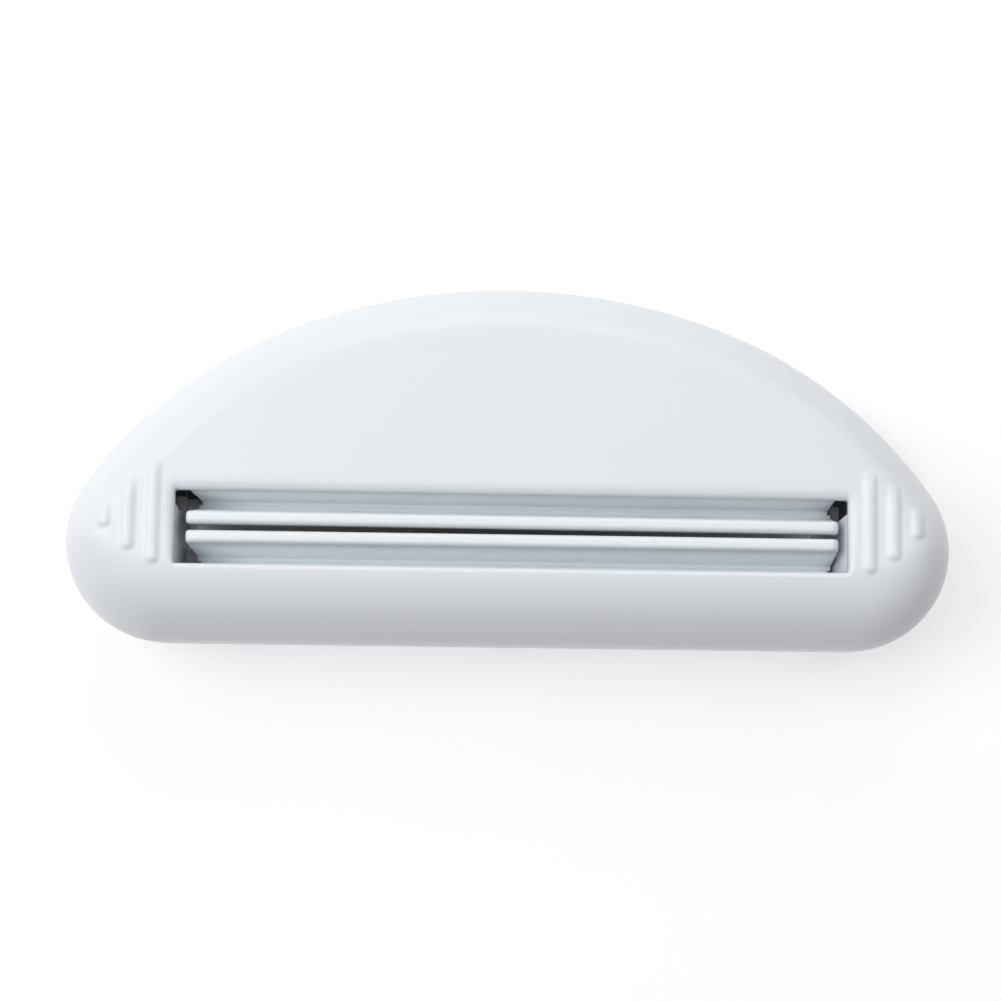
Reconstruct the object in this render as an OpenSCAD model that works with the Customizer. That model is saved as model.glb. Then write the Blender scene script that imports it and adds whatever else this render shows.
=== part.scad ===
// Half-moon toothpaste dispenser: a hand-held squeezer that slides along a tube.
// It lies on its flat back. X runs along its length, Y from the straight edge to the crown,
// and Z from the back face to the front face. The tube's tail enters the funnel in the back
// and leaves between the two lips at the front. All sizes are in millimetres.

/* [Body outline] */
// Length from end to end
body_w = 95; // [88:1:106]
// Height from the straight edge to the crown
body_h = 38.7; // [37:0.1:43]
// Thickness from the back face to the front face
body_d = 22; // [21.6:0.2:26]
// Radius of the two rounded ends
end_r = 10.8; // [10:0.1:12]
// Radius of the crown
crown_r = 65; // [60:0.5:72]
// Half of the angle that the crown arc spans
crown_angle = 19.4; // [16:0.2:21]

/* [Rim] */
// Width of the rounded rim, seen from the front
rim_w = 6; // [5:0.1:6.6]
// Width of the rounded rim along the straight edge
rim_w_straight = 8; // [7:0.1:8.2]
// How far back the rounding of the rim reaches
rim_d = 8; // [6:0.1:9]

/* [Shells] */
// Thickness of the moulded walls
wall = 2; // [1.7:0.1:2.3]
// Depth of the front shell, from the front face to the joint between the shells
front_d = 11; // [10.6:0.1:11.4]
// Height of the tongue that locates one shell in the other
tongue_h = 1.2; // [0.8:0.1:2]
// Clearance round the tongue
tongue_gap = 0.1; // [0.05:0.01:0.2]

/* [Closing pins] */
// Diameter of the pins that close the shells
pin_d = 3; // [2.4:0.1:3.4]
// Diameter of the post behind each pin
post_d = 5; // [4.4:0.1:5.4]
// Diameter of the socket that takes each pin
socket_d = 6; // [5.4:0.1:6.2]
// Length of the pins
pin_len = 5; // [3:0.1:6]
// Clearance round a pin, on the radius
pin_play = 0.02; // [0.01:0.01:0.05]
// Distance of the end pins from the middle
end_pin_x = 40.4; // [39.8:0.1:40.8]
// Distance of the top pins from the middle
top_pin_x = 15; // [8:0.5:22]
// Height of the top pins above the slot
top_pin_rise = 17; // [13:0.5:19]

/* [Slot] */
// Length of the slot between its end walls
slot_len = 70.4; // [67:0.2:71]
// Clear height of the slot behind its rolled edge
slot_h = 7.6; // [7.1:0.1:8.1]
// Radius of the rolled edge
slot_edge_r = 1.2; // [0.6:0.1:1.4]
// Height of the slot's middle above the straight edge
slot_rise = 11.8; // [11.4:0.1:13]
// Thickness of the walls that close the slot's ends
cheek_t = 1.2; // [0.8:0.1:1.5]
// How far above the slot's middle the end walls stop, at the front
cheek_rise = 2.6; // [2:0.1:3.2]
// How much lower they stop at the joint between the shells
cheek_fall = 1; // [0:0.1:1.4]

/* [Funnel in the back] */
// Clear height of the funnel's mouth
funnel_h = 8.4; // [7.6:0.1:9]
// Thickness of the funnel's walls
funnel_wall = 1.6; // [1.2:0.1:2]
// Clear height of the throat, where the funnel meets the jaws
throat_h = 3; // [2.4:0.1:3.4]

/* [Jaws] */
// Length of each lip
jaw_len = 68.4; // [63:0.2:69]
// How much shorter the jaw mounts are
mount_cut = 0.6; // [0:0.1:3]
// Opening between the lips at rest
lip_gap = 0.6; // [0.4:0.1:0.8]
// Thickness of each lip at its nose
lip_t = 1.2; // [1:0.1:1.4]
// How far the lips' noses lie behind the front face
lip_inset = 0.4; // [0.2:0.1:1]
// Radius of the rounded corners at the ends of each lip
lip_corner_r = 0.9; // [0.7:0.1:2]
// Depth of the fold behind the front face
fold_depth = 8.6; // [8.2:0.1:8.9]
// Radius of the bead that a lip turns on
bead_r = 0.6; // [0.5:0.05:0.65]
// Clearance round the bead
bead_play = 0.05; // [0.03:0.01:0.08]
// Thickness of a lip where it leaves the bead
neck_t = 0.7; // [0.6:0.05:0.75]
// Thickness of the edge that holds the bead in on the tube's side
keeper_t = 0.45; // [0.35:0.05:0.6]

/* [Jaw mounts] */
// Thickness of the mount's wall
mount_t = 1.2; // [1:0.1:1.4]
// Height of the mount from its foot to its top edge
mount_h = 9.7; // [9:0.1:9.8]
// Depth of the mount's foot behind the middle of the bead
foot_drop = 3.5; // [3.3:0.1:3.6]
// Thickness of the mount's flange
flange_t = 1.2; // [0.8:0.1:1.6]
// Depth of the flange behind the front face
flange_depth = 3.6; // [3.6:0.1:4.2]
// How far the flange reaches from the slot's middle
flange_reach = 7.4; // [7.2:0.1:7.4]
// Diameter of the pegs that hold the flange
peg_d = 1.6; // [1:0.1:1.8]
// Clearance round a peg, on the radius
peg_play = 0.05; // [0.03:0.01:0.1]
// Clearance between a peg's seat and the mount's wall
seat_play = 0.1; // [0.05:0.05:0.2]
// Distance of the outer pegs from the middle
peg_x = 24; // [12:0.5:28]

/* [Grip ribs] */
// Number of ribs at each end
rib_count = 3; // [1:1:3]
// Width of a rib
rib_w = 1.1; // [0.8:0.1:1.4]
// How far a rib stands out of the rim
rib_proud = 0.35; // [0.2:0.05:0.5]
// Distance of the first rib from the middle
rib_x = 37.9; // [37.4:0.1:38.6]
// Distance from one rib to the next
rib_pitch = 2.6; // [2:0.1:3]
// Length of the first rib
rib_len = 11.1; // [9:0.1:12]
// How much shorter the second rib is
rib_taper = 2.6; // [1:0.1:3]
// Height of the ribs' middle above the slot's middle
rib_rise = 1.8; // [0:0.1:2]

/* [Hidden] */
$fn = 48;

// Extra length on tools that cut through a face, and on walls before a cut trims them
over = 1;
// How far a lip's neck is set in from the side of its bead
neck_set = 0.04;
// How far a peg stands through the flange, and its seat is rooted in the front wall
peg_tip = 0.3;
seat_root = 0.3;
// Room left under the tip of a closing pin
pin_relief = 0.5;
// Depth below the front face at which the ribs start, and how fast they shorten
rib_root = 1.4;
rib_fade = 1.5;
// Steps along the end, shoulder and crown arcs, and round the rim outside and inside
end_steps = 18;
shoulder_steps = 8;
crown_steps = 14;
rim_steps = 10;
cavity_steps = 5;
// Plastic colours of the shells and the jaws
shell_colour = [0.93, 0.94, 0.96];
jaw_colour = [0.90, 0.92, 0.95];

rear_d = body_d - front_d;
joint_z = rear_d;
base_y = -body_h / 2;
slot_y = base_y + slot_rise;
slot_half = slot_len / 2;
throat_half = throat_h / 2;

// The outline is one chain of tangent arcs: end, shoulder, crown, shoulder, end
end_c = [body_w / 2 - end_r, base_y + end_r];
crown_c = [0, body_h / 2 - crown_r];
crown_dir = [sin(crown_angle), cos(crown_angle)];
crown_end = crown_c + crown_r * crown_dir;
reach = crown_end - end_c;
shoulder_r = (reach * reach - end_r * end_r) / (2 * (reach * crown_dir - end_r));
shoulder_c = crown_end - shoulder_r * crown_dir;
flank_dir = end_c - shoulder_c;
flank_angle = atan2(flank_dir.y, flank_dir.x);

// A lip turns on the middle of its bead
groove_r = bead_r + bead_play;
bead_u = throat_half + keeper_t + groove_r * cos(30);
bead_z = body_d - fold_depth;
// The mount holds the bead from its wall round to its keeper
fold_in = [bead_u + groove_r * cos(60), bead_z + groove_r * sin(60)];
keeper_top = bead_z - groove_r * sin(30);
foot_z = bead_z - foot_drop;
mount_top = foot_z + mount_h;
mount_out = fold_in.x + mount_t;
slot_gap = slot_h / 2;
flange_top = body_d - flange_depth;
peg_u = (slot_gap + mount_t + flange_reach) / 2;
lip_z = body_d - lip_inset - lip_t / 2;

// One station of the outline: its place and its outward direction
function arc_stations(centre, r, from, to, steps, skip = 0) = [
    for (i = [skip:steps])
        let (a = from + (to - from) * i / steps)
        [centre.x + r * cos(a), centre.y + r * sin(a), cos(a), sin(a)]
];

function mirrored(stations) = [
    for (i = [len(stations) - 1:-1:0])
        let (s = stations[i])
        [-s[0], s[1], -s[2], s[3]]
];

right_side = concat(
    arc_stations(end_c, end_r, -90, flank_angle, end_steps),
    arc_stations(shoulder_c, shoulder_r, flank_angle, 90 - crown_angle, shoulder_steps, 1)
);
crown = arc_stations(crown_c, crown_r, 90 - crown_angle, 90 + crown_angle, crown_steps, 1);
left_side = mirrored(right_side);
outline = concat(
    right_side,
    crown,
    [for (i = [1:len(left_side) - 1]) left_side[i]]
);

// The rim widens where the outline faces down, towards the straight edge
function rim_width(s) = rim_w + (rim_w_straight - rim_w) * max(0, -s[3]);

// The outline drawn in by an equal distance all round
function outline_inset(inset) = [for (s = outline) [s[0] - inset * s[2], s[1] - inset * s[3]]];

// One ring of a shell's skin, at an angle round the rim, as 3-D points
function rim_ring(depth, skin, turn) = [
    for (s = outline)
        let (inset = skin + (rim_width(s) - skin) * (1 - cos(turn)))
        [s[0] - inset * s[2], s[1] - inset * s[3], depth - rim_d + (rim_d - skin) * sin(turn)]
];

// Half of the body as a solid: joint face at z = 0, outer face at z = depth.
// A skin above 0 gives the hollow inside that wall, and one below 0 a grown form.
module half_body(depth, skin, steps, under = 0) {
    count = len(outline);
    points = concat(
        [for (p = outline_inset(skin)) [p.x, p.y, -under]],
        [for (k = [0:steps]) each rim_ring(depth, skin, 90 * k / steps)]
    );
    sides = [
        for (k = [0:steps], i = [0:count - 1])
            let (a = k * count + i, b = k * count + (i + 1) % count)
            each [[a, a + count, b + count], [a, b + count, b]]
    ];
    bottom = [for (i = [0:count - 1]) i];
    top = [for (i = [count - 1:-1:0]) (steps + 1) * count + i];
    polyhedron(points = points, faces = concat([bottom, top], sides), convexity = 4);
}

module hollow_half(depth) {
    difference() {
        half_body(depth, 0, rim_steps);
        half_body(depth, wall, cavity_steps, over);
    }
}

// A section drawn with Y across and Z up, run along X about the middle
module along_x(length) {
    rotate([90, 0, 90])
        linear_extrude(height = length, center = true)
            children();
}

// A section drawn with X across and Z up, run along Y about the middle
module along_y(length) {
    rotate([90, 0, 0])
        linear_extrude(height = length, center = true)
            children();
}

// Half of the height above the slot's middle, or its mirror image below
module on_side(side) {
    translate([0, slot_y, 0])
        mirror([0, side < 0 ? 1 : 0, 0])
            children();
}

// Section of a mouth that widens over a rolled edge, its face at height 0
module rolled_section(half) {
    wide = half + slot_edge_r;
    difference() {
        translate([-wide, -slot_edge_r])
            square([2 * wide, slot_edge_r + over]);
        for (side = [-1, 1])
            translate([side * wide, -slot_edge_r])
                circle(r = slot_edge_r);
    }
}

// The cut that rolls the edge of a mouth, with mitred corners
module rolled_edge(half_x, half_y) {
    translate([0, slot_y, 0])
        intersection() {
            along_x(2 * (half_x + 2 * slot_edge_r)) rolled_section(half_y);
            along_y(2 * (half_y + 2 * slot_edge_r)) rolled_section(half_x);
        }
}

// Places of the four closing pins
module at_pins() {
    for (side = [-1, 1]) {
        translate([side * end_pin_x, end_c.y, 0]) children();
        translate([side * top_pin_x, slot_y + top_pin_rise, 0]) children();
    }
}

// Places of the pegs along one jaw mount
module at_pegs() {
    for (x = [-peg_x, 0, peg_x])
        translate([x, peg_u, 0])
            children();
}

module front_slot_cut() {
    translate([-slot_half, slot_y - slot_gap, body_d - wall - over])
        cube([slot_len, slot_h, wall + 2 * over]);
    translate([0, 0, body_d])
        rolled_edge(slot_half, slot_gap);
}

// End wall of the slot, cut back above the slot's middle so that the jaw moves freely
module cheek() {
    top_z = body_d - wall / 2;
    foot = -slot_gap - slot_edge_r;
    translate([slot_half + cheek_t / 2, slot_y, 0])
        along_x(cheek_t)
            polygon([
                [foot, joint_z],
                [cheek_rise - cheek_fall, joint_z],
                [cheek_rise, top_z],
                [foot, top_z]
            ]);
}

// Seat and peg for a jaw mount's flange
module mount_peg() {
    seat_r = peg_u - slot_gap - mount_t - seat_play;
    root_z = body_d - wall + seat_root;
    translate([0, 0, flange_top])
        cylinder(r = seat_r, h = root_z - flange_top);
    translate([0, 0, flange_top - flange_t - peg_tip])
        cylinder(d = peg_d, h = peg_tip + flange_t + over / 2);
}

// Length of each rib shortens towards the silhouette
function rib_length(i) = rib_len - rib_taper * pow(i, rib_fade);

module grip_ribs() {
    intersection() {
        translate([0, 0, joint_z])
            half_body(front_d, -rib_proud, rim_steps);
        for (side = [-1, 1], i = [0:rib_count - 1])
            translate([side * (rib_x + i * rib_pitch), slot_y + rib_rise, body_d - rib_root])
                rib_bar(rib_length(i));
    }
}

module rib_bar(length) {
    straight = length - rib_w;
    linear_extrude(height = 2 * wall) {
        translate([-rib_w / 2, -straight / 2])
            square([rib_w, straight]);
        for (end = [-1, 1])
            translate([0, end * straight / 2])
                circle(d = rib_w);
    }
}

module front_shell() {
    color(shell_colour)
        difference() {
            union() {
                difference() {
                    translate([0, 0, joint_z])
                        hollow_half(front_d);
                    front_slot_cut();
                }
                grip_ribs();
                cheek();
                mirror([1, 0, 0])
                    cheek();
                for (side = [-1, 1])
                    on_side(side)
                        at_pegs()
                            mount_peg();
                at_pins() {
                    translate([0, 0, joint_z])
                        cylinder(d = post_d, h = front_d - wall / 2);
                    translate([0, 0, joint_z - pin_len])
                        cylinder(d = pin_d, h = pin_len + over);
                }
            }
            translate([0, 0, joint_z - over])
                linear_extrude(height = tongue_h + tongue_gap + over)
                    difference() {
                        polygon(outline_inset(wall / 2));
                        polygon(outline_inset(wall));
                    }
        }
}

module rear_shell() {
    color(shell_colour) {
        difference() {
            union() {
                translate([0, 0, joint_z])
                    mirror([0, 0, 1])
                        hollow_half(rear_d);
                funnel_walls();
                at_pins()
                    translate([0, 0, wall / 2])
                        cylinder(d = socket_d, h = joint_z - wall / 2);
                tongue();
            }
            funnel_cut();
            at_pins()
                translate([0, 0, joint_z - pin_len - pin_relief])
                    cylinder(r = pin_d / 2 + pin_play, h = pin_relief + pin_len + over);
        }
    }
}

// Raised edge that locates the rear shell inside the front one
module tongue() {
    translate([0, 0, joint_z - wall])
        linear_extrude(height = wall + tongue_h)
            difference() {
                polygon(outline_inset(wall / 2 + tongue_gap));
                polygon(outline_inset(wall));
            }
}

// The two sloping walls carry the jaw mounts' feet, and the end walls meet the cheeks
module funnel_walls() {
    low = wall / 2;
    for (side = [-1, 1]) {
        on_side(side)
            along_x(slot_len + 2 * cheek_t)
                polygon([
                    [funnel_h / 2 - over, low],
                    [throat_half - over, foot_z],
                    [mount_out, foot_z],
                    [mount_out, foot_z - funnel_wall],
                    [funnel_h / 2 + funnel_wall, low]
                ]);
        translate([side * (slot_half + cheek_t / 2), slot_y, (low + joint_z) / 2])
            cube([cheek_t, funnel_h + 2 * funnel_wall, joint_z - low], center = true);
    }
}

module funnel_cut() {
    mouth = funnel_h / 2;
    translate([0, slot_y, 0])
        along_x(slot_len)
            polygon([
                [-mouth, -over],
                [mouth, -over],
                [mouth, 0],
                [throat_half, foot_z],
                [throat_half, joint_z + over],
                [-throat_half, joint_z + over],
                [-throat_half, foot_z],
                [-mouth, 0]
            ]);
    mirror([0, 0, 1])
        rolled_edge(slot_half, mouth);
}

// Outer face of a mount's wall, at a height above the back face
function mount_face(z) =
    mount_out + (slot_gap + mount_t - mount_out) * (z - fold_in.y) / (mount_top - fold_in.y);

// Fixed half of a jaw: slot wall, flange, and foot with the groove for the lip's bead
module jaw_mount() {
    flange_low = flange_top - flange_t;
    difference() {
        along_x(jaw_len - mount_cut)
            difference() {
                polygon([
                    fold_in,
                    [slot_gap, mount_top],
                    [slot_gap + mount_t, mount_top],
                    [mount_face(flange_top), flange_top],
                    [flange_reach, flange_top],
                    [flange_reach, flange_low],
                    [mount_face(flange_low), flange_low],
                    [mount_out, fold_in.y],
                    [mount_out, foot_z],
                    [throat_half, foot_z],
                    [throat_half, keeper_top],
                    [throat_half + keeper_t, keeper_top]
                ]);
                translate([bead_u, bead_z])
                    circle(r = groove_r);
            }
        at_pegs()
            translate([0, 0, flange_low - over])
                cylinder(r = peg_d / 2 + peg_play, h = flange_t + 2 * over);
    }
}

module upper_jaw_mount() {
    color(jaw_colour)
        on_side(1)
            jaw_mount();
}

module lower_jaw_mount() {
    color(jaw_colour)
        on_side(-1)
            jaw_mount();
}

// Section of a lip: bead, neck and leaf, with a round nose beside the tube
module lip_section() {
    half_gap = lip_gap / 2;
    neck_in = bead_u - bead_r + neck_set;
    neck_top = bead_z + bead_r;
    translate([bead_u, bead_z])
        circle(r = bead_r);
    polygon([
        [neck_in, bead_z],
        [neck_in + neck_t, bead_z],
        [neck_in + neck_t, neck_top],
        [half_gap + lip_t, lip_z],
        [half_gap, lip_z],
        [neck_in, neck_top]
    ]);
    translate([half_gap + lip_t / 2, lip_z])
        circle(d = lip_t);
}

// Lip seen from above the slot: square at the bead, rounded at its front corners
module lip_plan() {
    front = lip_z + lip_t / 2;
    back = bead_z - bead_r;
    corner_x = jaw_len / 2 - lip_corner_r;
    translate([-jaw_len / 2, back])
        square([jaw_len, front - lip_corner_r - back]);
    translate([-corner_x, back])
        square([2 * corner_x, front - back]);
    for (side = [-1, 1])
        translate([side * corner_x, front - lip_corner_r])
            circle(r = lip_corner_r);
}

module lip() {
    intersection() {
        along_x(jaw_len) lip_section();
        along_y(4 * slot_h) lip_plan();
    }
}

module upper_lip() {
    color(jaw_colour)
        on_side(1)
            lip();
}

module lower_lip() {
    color(jaw_colour)
        on_side(-1)
            lip();
}

front_shell();
rear_shell();
upper_jaw_mount();
lower_jaw_mount();
upper_lip();
lower_lip();
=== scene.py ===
import math

import bmesh
import bpy
import numpy as np
from mathutils import Matrix, Vector, kdtree


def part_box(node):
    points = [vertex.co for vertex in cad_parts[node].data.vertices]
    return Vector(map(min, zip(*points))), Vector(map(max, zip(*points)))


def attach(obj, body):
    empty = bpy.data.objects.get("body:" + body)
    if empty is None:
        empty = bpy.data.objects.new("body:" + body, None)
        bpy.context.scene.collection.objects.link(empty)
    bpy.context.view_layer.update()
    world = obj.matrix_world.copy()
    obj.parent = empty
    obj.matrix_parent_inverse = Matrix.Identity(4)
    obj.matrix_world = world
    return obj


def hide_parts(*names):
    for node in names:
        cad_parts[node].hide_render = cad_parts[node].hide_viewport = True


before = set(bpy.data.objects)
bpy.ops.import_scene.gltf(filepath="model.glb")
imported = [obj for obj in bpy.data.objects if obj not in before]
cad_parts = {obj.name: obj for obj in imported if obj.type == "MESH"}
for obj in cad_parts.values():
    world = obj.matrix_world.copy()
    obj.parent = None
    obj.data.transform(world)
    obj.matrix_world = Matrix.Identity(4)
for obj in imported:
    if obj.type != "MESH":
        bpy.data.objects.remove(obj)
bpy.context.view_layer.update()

# Front shell. The front half of a half-moon body, injection moulded in glossy white plastic.
# Its flat face rounds over into the rim, the long slot has a rolled edge, and three soft
# ribs at each end are there to grip it by. Pins on its inside close it on the rear shell.
MM = 0.001
shell_low, shell_high = (np.array(corner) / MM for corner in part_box("front_shell"))
rear_low, rear_high = (np.array(corner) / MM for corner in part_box("rear_shell"))
rib_proud = 0.35
body_w = shell_high[0] - shell_low[0]
base_y = shell_low[1]
crown_y = shell_high[1]
back_z = rear_low[2]
face_z = shell_high[2] - rib_proud
joint_z = (back_z + face_z) / 2
end_r = 10.8
crown_r = 65.0
crown_angle = math.radians(19.4)
rim_w = 6.0
rim_w_straight = 9.2
rim_d = 8.0
wall = 2.0
slot_y = base_y + 11.8
slot_half = 35.2
slot_gap = 3.8
slot_corner_r = 0.25
roll_r = 1.2
throat_wall_z = face_z - wall
end_split = math.radians(41)
seam_r = 0.14
tongue_h = 1.2
tongue_play = 0.1
belt_h = 1.0
straight_count, end_count, crown_count = 150, 150, 340

end_c = np.array([body_w / 2 - end_r, base_y + end_r])
crown_c = np.array([0.0, crown_y - crown_r])
crown_dir = np.array([math.sin(crown_angle), math.cos(crown_angle)])
crown_end = crown_c + crown_r * crown_dir
reach = crown_end - end_c
shoulder_r = (reach @ reach - end_r**2) / (2 * (reach @ crown_dir - end_r))
shoulder_c = crown_end - shoulder_r * crown_dir
flank_angle = math.atan2(*(end_c - shoulder_c)[::-1])


def arc(centre, r, start, stop, count):
    """Points on an arc with their outward directions, the last point left to the next arc."""
    a = np.linspace(start, stop, count, endpoint=False)
    out = np.stack([np.cos(a), np.sin(a)], 1)
    return centre + r * out, out


def spread(pieces, count):
    """One run of evenly spaced stations along a chain of arcs, from a dense version of it."""
    points = np.concatenate([p for p, _ in pieces])
    out = np.concatenate([o for _, o in pieces])
    steps = np.linalg.norm(np.diff(points, axis=0), axis=1)
    along = np.concatenate([[0], np.cumsum(steps)])
    at = np.linspace(0, along[-1], count, endpoint=False)
    place = np.stack([np.interp(at, along, points[:, k]) for k in (0, 1)], 1)
    way = np.stack([np.interp(at, along, out[:, k]) for k in (0, 1)], 1)
    return place, way / np.linalg.norm(way, axis=1, keepdims=True)


def flipped(run):
    """The mirror image of a run of stations, in the order that carries on round the body."""
    place, way = (part[::-1] * [-1, 1] for part in run)
    return place, way


def body_outline(counts, fine=900):
    """The half-moon as tangent arcs, cut where the slot's edge has its corners."""
    straight_n, end_n, crown_n = counts
    x = np.linspace(-end_c[0], end_c[0], straight_n, endpoint=False)
    line = np.stack([x, np.full_like(x, base_y)], 1)
    straight = line, np.tile([0.0, -1.0], (straight_n, 1))
    flank = arc(shoulder_c, shoulder_r, flank_angle, end_split, fine)
    right_end = [arc(end_c, end_r, -math.pi / 2, flank_angle, fine), flank]
    shoulder = arc(shoulder_c, shoulder_r, end_split, math.pi / 2 - crown_angle, fine)
    over_top = [
        shoulder,
        arc(crown_c, crown_r, math.pi / 2 - crown_angle, math.pi / 2 + crown_angle, fine),
        flipped(shoulder),
    ]
    left_end = [
        flipped(flank),
        arc(end_c * [-1, 1], end_r, math.pi - flank_angle, 1.5 * math.pi, fine),
    ]
    runs = [
        straight,
        spread(right_end, end_n),
        spread(over_top, crown_n),
        spread(left_end, end_n),
    ]
    return np.concatenate([p for p, _ in runs]), np.concatenate([o for _, o in runs])


def slot_outline(counts, half_x, half_y, corner_r, middle_y=slot_y, fine=400):
    """A rectangle with rounded corners, in step with the body's outline."""
    straight_n, end_n, crown_n = counts
    cx, cy = half_x - corner_r, half_y - corner_r
    low_x = np.linspace(-cx, cx, straight_n, endpoint=False)
    high_x = np.linspace(cx, -cx, crown_n, endpoint=False)
    low = np.stack([low_x, np.full(straight_n, -half_y)], 1)
    high = np.stack([high_x, np.full(crown_n, half_y)], 1)
    upright = np.linspace(-cy, cy, fine, endpoint=False)
    right = [
        arc(np.array([cx, -cy]), corner_r, -math.pi / 2, 0, fine),
        (np.stack([np.full(fine, half_x), upright], 1), np.tile([1.0, 0.0], (fine, 1))),
        arc(np.array([cx, cy]), corner_r, 0, math.pi / 2, fine),
    ]
    right = spread(right, end_n)[0]
    ring = np.concatenate([low, right, high, -right])
    return ring + [0, middle_y]


counts = (straight_count, end_count, crown_count)
outline, outward = body_outline(counts)
dense_counts = (1500, 1200, 3200)
dense, dense_out = body_outline(dense_counts)
nearest = kdtree.KDTree(len(dense))
for index, point in enumerate(dense):
    nearest.insert((*point, 0), index)
nearest.balance()


def rim_drop(points, skin=0.0):
    """How far the rounded rim lies below the flat face, at points in plan."""
    hit = np.array([nearest.find((x, y, 0))[1] for x, y in points])
    way = dense_out[hit]
    inset = np.maximum(((dense[hit] - points) * way).sum(1) - skin, 0)
    width = rim_w + (rim_w_straight - rim_w) * np.maximum(0, -way[:, 1]) - skin
    share = np.clip(1 - inset / width, 0, 1)
    return (rim_d - skin) * (1 - np.sqrt(1 - share**2))


rib_x, rib_pitch, rib_w, rib_soft, rib_fade = 37.4, 2.55, 1.1, 0.42, 2.4
rib_count, rib_len, rib_taper, rib_bend = 3, 10.8, 2.8, 1.4
rib_lengths = [rib_len - rib_taper * i**rib_bend for i in range(rib_count)]
rib_y = slot_y + 1.8
rib_stand = 0.27


def rib_height(points):
    """The grip ribs: soft raised bars that fade at the top, three at each end of the body."""
    height = np.zeros(len(points))
    for i, length in enumerate(rib_lengths):
        off_x = np.abs(points[:, 0]) - (rib_x + i * rib_pitch)
        off_y = np.maximum(np.abs(points[:, 1] - rib_y) - (length - rib_w) / 2, 0)
        edge = np.hypot(off_x, off_y) - rib_w / 2
        rise = np.clip(0.5 - edge / (2 * rib_soft), 0, 1)
        fade = np.clip((rib_y + length / 2 - points[:, 1]) / rib_fade, 0, 1)
        soft = rib_stand * rise * rise * (3 - 2 * rise) * (fade * (2 - fade))
        height = np.maximum(height, soft)
    return height


def ring(plan, z):
    return np.column_stack([plan, np.broadcast_to(z, len(plan))])


def inset_ring(inset, z):
    return ring(outline - outward * inset, z)


def skinned(name, rings, closed=True):
    """One closed mesh through a list of rings with equal counts, in millimetres."""
    count = len(rings[0])
    verts = np.concatenate(rings) * MM
    rows = len(rings)
    faces = []
    for j in range(rows if closed else rows - 1):
        a, b = j * count, (j + 1) % rows * count
        for i in range(count):
            k = (i + 1) % count
            faces.append((a + i, a + k, b + k, b + i))
    if not closed:
        faces.append(tuple(range(count))[::-1])
        faces.append(tuple(range((rows - 1) * count, rows * count)))
    mesh = bpy.data.meshes.new(name)
    mesh.from_pydata(verts.tolist(), [], faces)
    work = bmesh.new()
    work.from_mesh(mesh)
    bmesh.ops.recalc_face_normals(work, faces=work.faces)
    work.to_mesh(mesh)
    work.free()
    mesh.shade_smooth()
    piece = bpy.data.objects.new(name, mesh)
    bpy.context.collection.objects.link(piece)
    return piece


def joined(name, pieces):
    """Several islands of one moulding as one piece."""
    with bpy.context.temp_override(
        active_object=pieces[0], selected_editable_objects=pieces, selected_objects=pieces
    ):
        bpy.ops.object.join()
    pieces[0].name = pieces[0].data.name = name
    return pieces[0]


def crisp(piece, angle=35):
    """Shade smooth, with true edges kept sharp."""
    work = bmesh.new()
    work.from_mesh(piece.data)
    for edge in work.edges:
        edge.smooth = not edge.is_manifold or edge.calc_face_angle(0) < math.radians(angle)
    work.to_mesh(piece.data)
    work.free()
    return piece


face_steps, cavity_steps, roll_steps = 110, 14, 12


def slot_ring(offset, z):
    size = slot_half + offset, slot_gap + offset, slot_corner_r + offset
    return ring(slot_outline(counts, *size, slot_y + slot_rise), z)


def across(start, stop, share):
    return start + (stop - start) * share


slot_edge_t, slot_rise = 1.3, 0.12
thinned_root, thinned_reach = 2.4, 2.3
slot_land, slot_ease = 0.12, 0.03
slot_wall_z = face_z - slot_edge_t
front_rings = [
    slot_ring(thinned_root, throat_wall_z),
    slot_ring(thinned_reach, slot_wall_z),
    slot_ring(slot_land, slot_wall_z),
    slot_ring(slot_ease, slot_wall_z + slot_ease),
]
# The roll of the slot's edge is wide at the top, and tighter at the bottom.
roll_w, roll_w_change = 0.80, 0.40
roll_h, roll_h_change = 0.62, 0.06
crowding = 1.5
roll_foot = slot_ring(0, 0)[:, :2]
roll_side = (roll_foot[:, 1] - slot_y) / slot_gap
roll_width = roll_w + roll_w_change * roll_side
roll_low = face_z - (roll_h + roll_h_change * roll_side)
slot_edge = roll_foot + (slot_ring(roll_r, 0)[:, :2] - roll_foot) * roll_width[:, None]
roll_top = face_z - rim_drop(slot_edge)
for step in range(roll_steps + 1):
    turn = math.pi / 2 * step / roll_steps
    share = 1 - math.cos(turn)
    plan = across(roll_foot, slot_edge, share)
    front_rings.append(ring(plan, across(roll_low, roll_top, math.sin(turn))))
for step in range(1, face_steps + 1):
    share = (1 - step / face_steps) ** crowding
    plan = across(outline, slot_edge, share)
    front_rings.append(ring(plan, face_z - rim_drop(plan) + rib_height(plan)))
edge_z = face_z - rim_d
for z in (edge_z - belt_h, joint_z + 2 * seam_r, joint_z + seam_r):
    front_rings.append(inset_ring(0, z))
for turn in (30, 60, 90):
    side, down = math.cos(math.radians(turn)), math.sin(math.radians(turn))
    front_rings.append(inset_ring(seam_r * (1 - side), joint_z + seam_r * (1 - down)))
for inset, z in (
    (wall / 2, joint_z),
    (wall / 2, joint_z + tongue_h + tongue_play),
    (wall, joint_z + tongue_h + tongue_play),
    (wall, edge_z),
):
    front_rings.append(inset_ring(inset, z))
inner_edge = front_rings[-1][:, :2]
throat_edge = front_rings[0][:, :2]
for step in range(1, cavity_steps):
    share = (step / cavity_steps) ** crowding
    plan = across(inner_edge, throat_edge, share)
    front_rings.append(ring(plan, throat_wall_z - rim_drop(plan, wall)))
front_skin = skinned("front_shell_skin", front_rings)


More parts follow.
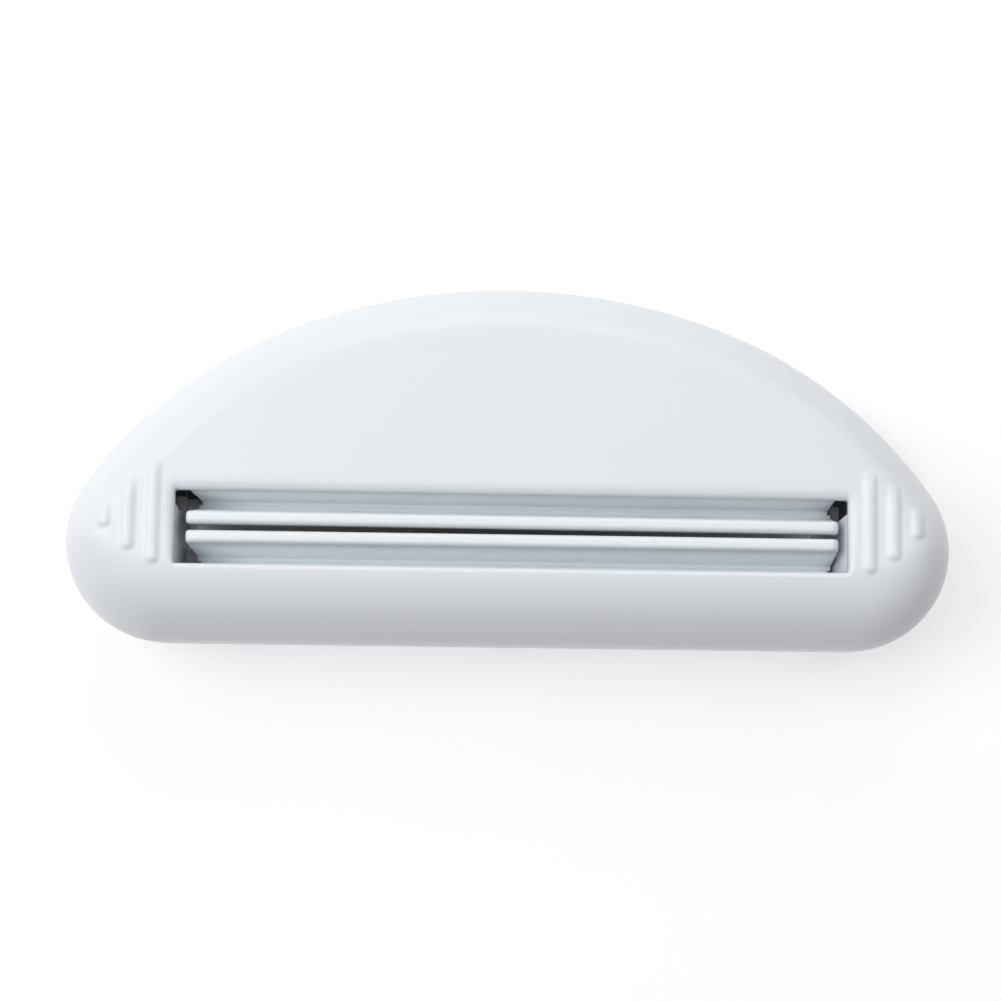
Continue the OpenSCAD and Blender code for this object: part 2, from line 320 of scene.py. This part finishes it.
def rounded(name, corners, x0, x1, edge=0.12):
    """A strip with a section in Y and Z, run from x0 to x1, its edges softened."""
    count = len(corners)
    mesh = bpy.data.meshes.new(name)
    verts = [(x * MM, y * MM, z * MM) for x in (x0, x1) for y, z in corners]
    faces = [tuple(range(count)), tuple(range(2 * count - 1, count - 1, -1))]
    faces += [(i, i + count, (i + 1) % count + count, (i + 1) % count) for i in range(count)]
    mesh.from_pydata(verts, [], faces)
    work = bmesh.new()
    work.from_mesh(mesh)
    bmesh.ops.recalc_face_normals(work, faces=work.faces)
    sharp = [e for e in work.edges if e.calc_face_angle(0) > math.radians(30)]
    bmesh.ops.bevel(
        work, geom=sharp, offset=edge * MM, segments=3, profile=0.5,
        affect="EDGES", clamp_overlap=True,
    )
    work.to_mesh(mesh)
    work.free()
    mesh.shade_smooth()
    piece = bpy.data.objects.new(name, mesh)
    bpy.context.collection.objects.link(piece)
    return crisp(piece)


cheek_t, cheek_rise, cheek_fall = 1.2, 2.6, 1.0
cheek_foot = -slot_gap - roll_r
seam_play = 0.02
cheek_low, cheek_root = joint_z + seam_play, throat_wall_z + wall * 0.4
cheek_section = [
    (slot_y + cheek_foot, cheek_low),
    (slot_y + cheek_rise - cheek_fall, cheek_low),
    (slot_y + cheek_rise, cheek_root),
    (slot_y + cheek_foot, cheek_root),
]


def turned(name, x, y, profile, count=48):
    """A round post from its profile of radii and heights, standing at x, y."""
    rings = []
    for r, z in profile:
        plan = arc(np.array([x, y]), r, 0, 2 * math.pi, count)[0]
        rings.append(ring(plan, z))
    return crisp(skinned(name, rings, closed=False))


pin_r, post_r, pin_len = 1.5, 2.5, 5.0
pin_lead_w, pin_lead_h = 0.3, 0.4
end_pin_x, top_pin_x, top_pin_rise = 40.4, 15.0, 17.0
pin_places = (end_pin_x, end_c[1]), (top_pin_x, slot_y + top_pin_rise)
pin_spots = [(s * x, y) for s in (-1, 1) for x, y in pin_places]
peg_r, peg_u, peg_x = 0.8, 6.175, 24.0
peg_ease, peg_tip = 0.15, 0.3
seat_r, seat_root = 1.125, 0.1
flange_depth, flange_t = 3.6, 1.2
flange_top = face_z - flange_depth

front_parts = [front_skin]
for side in (-1, 1):
    x0, x1 = sorted((side * slot_half, side * (slot_half + cheek_t)))
    front_parts.append(rounded("cheek", cheek_section, x0, x1))
for x, y in pin_spots:
    post = [
        (pin_r - pin_lead_w, joint_z - pin_len),
        (pin_r, joint_z - pin_len + pin_lead_h),
        (pin_r, joint_z),
        (post_r, joint_z),
        (post_r, face_z - wall / 2),
    ]
    front_parts.append(turned("post", x, y, post))
for side in (-1, 1):
    for x in (-peg_x, 0, peg_x):
        low = flange_top - flange_t - peg_tip
        peg = [
            (peg_r - peg_ease, low),
            (peg_r, low + peg_ease),
            (peg_r, flange_top),
            (seat_r, flange_top),
            (seat_r, slot_wall_z + seat_root),
        ]
        front_parts.append(turned("peg", x, slot_y + side * peg_u, peg))
front_shell = joined("front_shell_moulding", front_parts)


class Wire:
    """A number, colour or vector on its way through a material's nodes."""

    def __init__(self, finish, socket):
        self.finish, self.socket = finish, socket

    def maths(self, operation, *values):
        return self.finish.add("ShaderNodeMath", {"operation": operation}, dict(enumerate(values)))

    def __add__(self, other):
        return self.maths("ADD", self, other)

    def __mul__(self, other):
        return self.maths("MULTIPLY", self, other)

    __radd__, __rmul__ = __add__, __mul__


class Finish:
    """One material, and the nodes that vary it over the surface."""

    def __init__(self, name, **constants):
        self.material = bpy.data.materials.new(name)
        self.material.use_nodes = True
        self.nodes = self.material.node_tree.nodes
        self.shader = self.nodes["Principled BSDF"]
        for socket, value in constants.items():
            self.shader.inputs[socket.replace("_", " ")].default_value = value

    def add(self, kind, settings=None, inputs=None, output=0):
        node = self.nodes.new(kind)
        for name, value in (settings or {}).items():
            setattr(node, name, value)
        for socket, value in (inputs or {}).items():
            self.feed(node.inputs[socket], value)
        return Wire(self, node.outputs[output])

    def feed(self, socket, value):
        if isinstance(value, Wire):
            self.material.node_tree.links.new(value.socket, socket)
        else:
            socket.default_value = value

    def set(self, **values):
        for socket, value in values.items():
            self.feed(self.shader.inputs[socket.replace("_", " ")], value)


def glossy_plastic(name, colour, shade, roughness):
    """Glossy white plastic: faint flow marks in the colour, a soft mould texture in the gloss."""
    finish = Finish(name, IOR=1.5, Specular_IOR_Level=0.3)
    place = finish.add("ShaderNodeTexCoord", output=3)
    flow, mist, grain = [
        finish.add(
            "ShaderNodeTexNoise", None,
            {"Vector": place, "Scale": scale, "Detail": detail, "Roughness": rough},
        )
        for scale, detail, rough in ((60.0, 3.0, 0.5), (900.0, 4.0, 0.6), (2600.0, 2.0, 0.5))
    ]
    tint = finish.add(
        "ShaderNodeMix", {"data_type": "RGBA"},
        {0: flow, 6: (*colour, 1), 7: (*shade, 1)}, output=2,
    )
    skin = finish.add(
        "ShaderNodeBump", None,
        {"Strength": 0.12, "Distance": 0.00004, "Height": mist * 0.5 + grain * 0.5},
    )
    gloss_change = 0.1
    gloss = roughness - gloss_change / 2 + mist * gloss_change
    finish.set(Base_Color=tint, Roughness=gloss, Normal=skin)
    return finish.material


shell_colour, shell_shade, shell_roughness = (0.875, 0.90, 0.945), (0.86, 0.888, 0.935), 0.30
shell_white = glossy_plastic("gloss_white_moulding", shell_colour, shell_shade, shell_roughness)
front_shell.data.materials.append(shell_white)
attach(front_shell, "housing")
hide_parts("front_shell")

# Jaw mounts. The fixed halves of the two folded jaws, moulded in springy white plastic.
# Each stands between the front wall and the funnel, its flange over three pegs of the
# front shell, and its foot wraps round the fold that the lip turns on.
throat_half = 1.5
keeper_t = 0.45
fold_z = face_z - 8.6
groove_r = 0.65
groove_from, groove_to, groove_steps = 210, 340, 16
fold_u = throat_half + keeper_t + groove_r * math.cos(math.radians(groove_from - 180))
fold_in = (fold_u + 0.5, fold_z + 0.28)
web = (fold_in[0] + 0.38, fold_in[1] + 0.27)
foot_z = 9.9
mount_t = 1.2
mount_drop, fold_narrow = 0.1, 0.2
mount_top = slot_wall_z - mount_drop
mount_in = slot_gap + slot_rise
mount_out = fold_in[0] + mount_t - fold_narrow
flange_reach = 7.4
mount_half = 33.9
mount_edge = 0.08
jaw_skew = 0.08


def skewed(x, z):
    """The jaws are folded a little askew, so their deeper parts sit further to the right."""
    return x + jaw_skew * (face_z - z)


def mount_face(z):
    share = (z - fold_in[1]) / (mount_top - fold_in[1])
    return mount_out + (slot_gap + mount_t - mount_out) * share


groove = [
    (fold_u + groove_r * math.cos(a), fold_z + groove_r * math.sin(a))
    for a in np.radians(np.linspace(groove_from, groove_to, groove_steps))
]
flange_low = flange_top - flange_t
mount_section = groove + [
    fold_in,
    web,
    (mount_in + slot_ease, mount_top),
    (mount_in + mount_t, mount_top),
    (mount_face(flange_top), flange_top),
    (flange_reach, flange_top),
    (flange_reach, flange_low),
    (mount_face(flange_low), flange_low),
    (mount_out, fold_in[1]),
    (mount_out, foot_z),
    (throat_half, foot_z),
    (throat_half, fold_z - groove_r / 2),
]
# The jaws' white is a little lighter than the shell's. Partly that is their own plastic, and
# partly it is painted light that brightens the shaded inside of the slot.
jaw_colour_with_painted_light, jaw_shade_with_painted_light, jaw_roughness = (0.895, 0.94, 0.97), (0.885, 0.93, 0.965), 0.34
jaw_white_with_painted_light = glossy_plastic("springy_white_plastic_with_painted_light", jaw_colour_with_painted_light, jaw_shade_with_painted_light, jaw_roughness)
for side, label in ((1, "upper"), (-1, "lower")):
    section = [(slot_y + side * u, z) for u, z in mount_section]
    mount = rounded(f"{label}_jaw_strip", section, -mount_half, mount_half, mount_edge)
    for vertex in mount.data.vertices:
        vertex.co.x = skewed(vertex.co.x / MM, vertex.co.z / MM) * MM
    mount.data.materials.append(jaw_white_with_painted_light)
    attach(mount, "housing")
    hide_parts(f"{label}_jaw_mount")

# Lips. The springing halves of the jaws, each a leaf that comes forward from the fold to
# a round nose beside the tube. The tube's tail pushes them open, and they close on it
# again by the spring of the fold. Their front corners are rounded so as not to cut it.
lip_half = 34.2
lip_gap = 0.6
lip_t = 1.35
neck_t, neck_set, neck_rise = 0.65, 0.04, 0.05
bead_r = 0.6
bead_from, bead_to = 176, 436
lip_inset = 0.4
lip_top = face_z - lip_inset
lip_corner_r, corner_slim = 0.9, 0.22
nose_r, nose_from, land = 0.52, 0.16, 1.8
lip_lean, slit_taper = 0.13, 0.0011
nose_steps, bead_steps, corner_steps, leaf_steps = 9, 22, 12, 60
lip_edge_angle = 40


def lip_section(top, slim, lean):
    """Bead, neck and leaf of a lip as one outline, from the fold to the nose."""
    flat = lip_t / 2 - slim - nose_r
    middle = lip_gap / 2 + lip_t / 2 + lean
    neck_in = fold_u - bead_r + neck_set
    points = [
        (middle + shift + nose_r * math.cos(a), top - nose_r + nose_r * math.sin(a))
        for shift, start, stop in ((flat, nose_from, math.pi / 2), (-flat, math.pi / 2, math.pi))
        for a in np.linspace(start, stop, nose_steps)
    ]
    points += [
        (middle - flat - nose_r, top - land),
        (neck_in, fold_z + bead_r),
        *(
            (fold_u + bead_r * math.cos(a), fold_z + bead_r * math.sin(a))
            for a in np.radians(np.linspace(bead_from, bead_to, bead_steps))
        ),
        (neck_in + neck_t, fold_z + bead_r + neck_rise),
    ]
    return points


def lip(side, label):
    rings = []
    corner_x = lip_half - lip_corner_r
    turns = np.linspace(0, math.pi / 2, corner_steps)
    xs = [corner_x + lip_corner_r * math.sin(a) for a in turns]
    tops = [lip_top - lip_corner_r * (1 - math.cos(a)) for a in turns]
    slims = [corner_slim * (1 - math.cos(a)) ** 2 for a in turns]
    ends = list(zip(xs, tops, slims))
    stations = [(-x, top, slim) for x, top, slim in ends[::-1]]
    stations += [(x, lip_top, 0.0) for x in np.linspace(-corner_x, corner_x, leaf_steps)[1:-1]]
    stations += ends
    for x, top, slim in stations:
        section = lip_section(top, slim, side * lip_lean - slit_taper * x)
        rings.append(np.array([(skewed(x, z), slot_y + side * u, z) for u, z in section]))
    piece = crisp(skinned(label, rings, closed=False), lip_edge_angle)
    piece.data.materials.append(jaw_white_with_painted_light)
    return piece


for side, label in ((1, "upper"), (-1, "lower")):
    leaf = lip(side, f"{label}_lip_leaf")
    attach(leaf, f"{label}_lip")
    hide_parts(f"{label}_lip")

# Rear shell. The back half of the body, in the same glossy plastic. A funnel in its flat
# back leads the tube's tail up to the jaws and carries their feet, a thin tongue locates
# it in the front shell, and four sockets take the front shell's pins.
mouth_half = 4.2
funnel_wall, funnel_corner_r = 1.6, 0.6
funnel_steps, back_steps, back_crowding = 9, 70, 1.6
socket_r, socket_lead_w, socket_lead_h = 3.0, 0.2, 0.3
pin_play, socket_spare, socket_root, end_root = 0.02, 0.5, 0.5, 1.0
floor_z = back_z + wall
rear_edge_z = back_z + rim_d


def funnel_ring(half_x, half_y, corner_r, z):
    return ring(slot_outline(counts, half_x, half_y, corner_r), z)


rear_rings = []
for share in np.linspace(0, 1, funnel_steps):
    half_y = across(throat_half, mouth_half, share)
    z = across(foot_z, back_z + roll_r, share)
    rear_rings.append(funnel_ring(slot_half, half_y, slot_corner_r, z))
for step in range(1, roll_steps + 1):
    turn = math.pi / 2 * step / roll_steps
    offset = roll_r * (1 - math.cos(turn))
    size = slot_half + offset, mouth_half + offset, slot_corner_r + offset
    back_edge = funnel_ring(*size, 0)[:, :2]
    drop = rim_drop(back_edge)
    rear_rings.append(ring(back_edge, back_z + roll_r - (roll_r - drop) * math.sin(turn)))
for step in range(1, back_steps + 1):
    share = (1 - step / back_steps) ** back_crowding
    plan = across(outline, back_edge, share)
    rear_rings.append(ring(plan, back_z + rim_drop(plan)))
for z in (rear_edge_z + belt_h, joint_z - 2 * seam_r, joint_z - seam_r):
    rear_rings.append(inset_ring(0, z))
for turn in (30, 60, 90):
    side, down = math.cos(math.radians(turn)), math.sin(math.radians(turn))
    rear_rings.append(inset_ring(seam_r * (1 - side), joint_z - seam_r * (1 - down)))
for inset, z in (
    (wall / 2 + tongue_play, joint_z),
    (wall / 2 + tongue_play, joint_z + tongue_h),
    (wall, joint_z + tongue_h),
    (wall, rear_edge_z),
):
    rear_rings.append(inset_ring(inset, z))
rear_inner_edge = rear_rings[-1][:, :2]
end_half = slot_half + cheek_t
funnel_out = funnel_ring(end_half, mouth_half + funnel_wall, funnel_corner_r, floor_z)
for step in range(1, cavity_steps):
    share = (step / cavity_steps) ** crowding
    plan = across(rear_inner_edge, funnel_out[:, :2], share)
    rear_rings.append(ring(plan, floor_z + rim_drop(plan, wall)))
rear_rings.append(funnel_out)
for z in (foot_z - funnel_wall, foot_z):
    rear_rings.append(funnel_ring(end_half, mount_out, funnel_corner_r, z))
rear_parts = [skinned("rear_shell_skin", rear_rings)]
bore = pin_r + pin_play
socket = [
    (socket_r, floor_z - socket_root),
    (socket_r, joint_z - seam_play),
    (bore + socket_lead_w, joint_z - seam_play),
    (bore, joint_z - socket_lead_h),
    (bore, joint_z - pin_len - socket_spare),
]
rear_parts += [turned("socket", x, y, socket) for x, y in pin_spots]
end_section = [
    (slot_y - mouth_half, foot_z - end_root),
    (slot_y + mouth_half, foot_z - end_root),
    (slot_y + mouth_half, joint_z),
    (slot_y - mouth_half, joint_z),
]
for side in (-1, 1):
    x0, x1 = sorted((side * slot_half, side * end_half))
    rear_parts.append(rounded("funnel_end", end_section, x0, x1))
rear_shell = joined("rear_shell_moulding", rear_parts)
rear_shell.data.materials.append(shell_white)
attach(rear_shell, "housing")
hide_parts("rear_shell")

# Table top. A plain matt white board that the dispenser lies on, far larger than the view.
# It glows softly from within so that it reads evenly white. The glow is cut out in an oval under
# the part, a painted shade beneath the dispenser that keeps the floor seen through the slot dark.
table_half, table_z = 0.9, back_z * MM - 0.00002
board_glow = 0.50
# The oval where the board's glow is left out: painted shade under the dispenser, softened at its
# edge.
painted_shade_half_x, painted_shade_half_y, painted_shade_edge = 44, 15, (0.8, 1.15)
table = bpy.data.meshes.new("table_top")
square = ((-1, -1), (1, -1), (1, 1), (-1, 1))
corners = [(x * table_half, y * table_half, table_z) for x, y in square]
table.from_pydata(corners, [], [(0, 1, 2, 3)])
table_top = bpy.data.objects.new("table_top", table)
bpy.context.collection.objects.link(table_top)
board = Finish("matt_white_board", Roughness=0.9, Emission_Strength=board_glow)
place = board.add("ShaderNodeTexCoord", output=3)
scaled = board.add(
    "ShaderNodeVectorMath", {"operation": "MULTIPLY"},
    {0: place, 1: (1000 / painted_shade_half_x, 1000 / painted_shade_half_y, 0)},
)
far = board.add("ShaderNodeVectorMath", {"operation": "LENGTH"}, {0: scaled}, output=1)
lit = board.add(
    "ShaderNodeMapRange", {"interpolation_type": "SMOOTHSTEP"},
    {"Value": far, 1: painted_shade_edge[0], 2: painted_shade_edge[1]},
)
glow = board.add(
    "ShaderNodeMix", {"data_type": "RGBA"},
    {0: lit, 6: (0, 0, 0, 1), 7: (1, 1, 1, 1)}, output=2,
)
board.set(Base_Color=(0.6, 0.6, 0.605, 1), Emission_Color=glow)
table.materials.append(board.material)

# Studio. Eight large soft round lamps 0.8 m away, the strongest high on the left, and no
# light from the surroundings. The camera looks almost straight down from 22.5 cm up.
lens, sensor, clip_start = 70.44, 36.0, 0.01
lamp_far, lamp_size = 0.8, 0.5
camera_at = (-8.84, -22.83, 225.08)
camera_lean = [math.radians(a) for a in (5.222, -2.097, 0.747)]
camera = bpy.data.objects.new("camera", bpy.data.cameras.new("camera"))
camera.data.lens = lens
camera.data.sensor_width = sensor
camera.data.clip_start = clip_start
nod, swing, roll = (Matrix.Rotation(a, 4, axis) for a, axis in zip(camera_lean, "XYZ"))
camera.matrix_world = Matrix.Translation(Vector(camera_at) * MM) @ swing @ nod @ roll
bpy.context.collection.objects.link(camera)
bpy.context.scene.camera = camera


def soft_lamp(name, azimuth, elevation, power):
    """A round soft box at an angle round the dispenser and above the table, facing it."""
    lamp = bpy.data.objects.new(name, bpy.data.lights.new(name, "AREA"))
    lamp.data.shape = "DISK"
    lamp.data.size = lamp_size
    lamp.data.energy = power
    around, above = math.radians(azimuth), math.radians(elevation)
    side = math.cos(above)
    way = Vector((side * math.cos(around), side * math.sin(around), math.sin(above)))
    lamp.location = way * lamp_far
    lamp.rotation_euler = (-lamp.location).to_track_quat("-Z", "Y").to_euler()
    bpy.context.collection.objects.link(lamp)


for name, azimuth, elevation, power in (
    ("left_lamp", 180, 40, 0.95),
    ("high_left_lamp", 160, 60, 2.35),
    ("high_straight_lamp", 200, 60, 0.55),
    ("crown_lamp", 90, 40, 1.3),
    ("corner_lamp", 135, 40, 0.15),
    ("right_lamp", 45, 40, 0.7),
    ("high_right_lamp", 45, 65, 0.45),
    ("top_lamp", 0, 90, 1.05),
):
    soft_lamp(name, azimuth, elevation, power)
world = bpy.data.worlds.new("studio")
world.use_nodes = True
world.node_tree.nodes["Background"].inputs["Strength"].default_value = 0.0
bpy.context.scene.world = world
bpy.context.scene.view_settings.view_transform = "Standard"
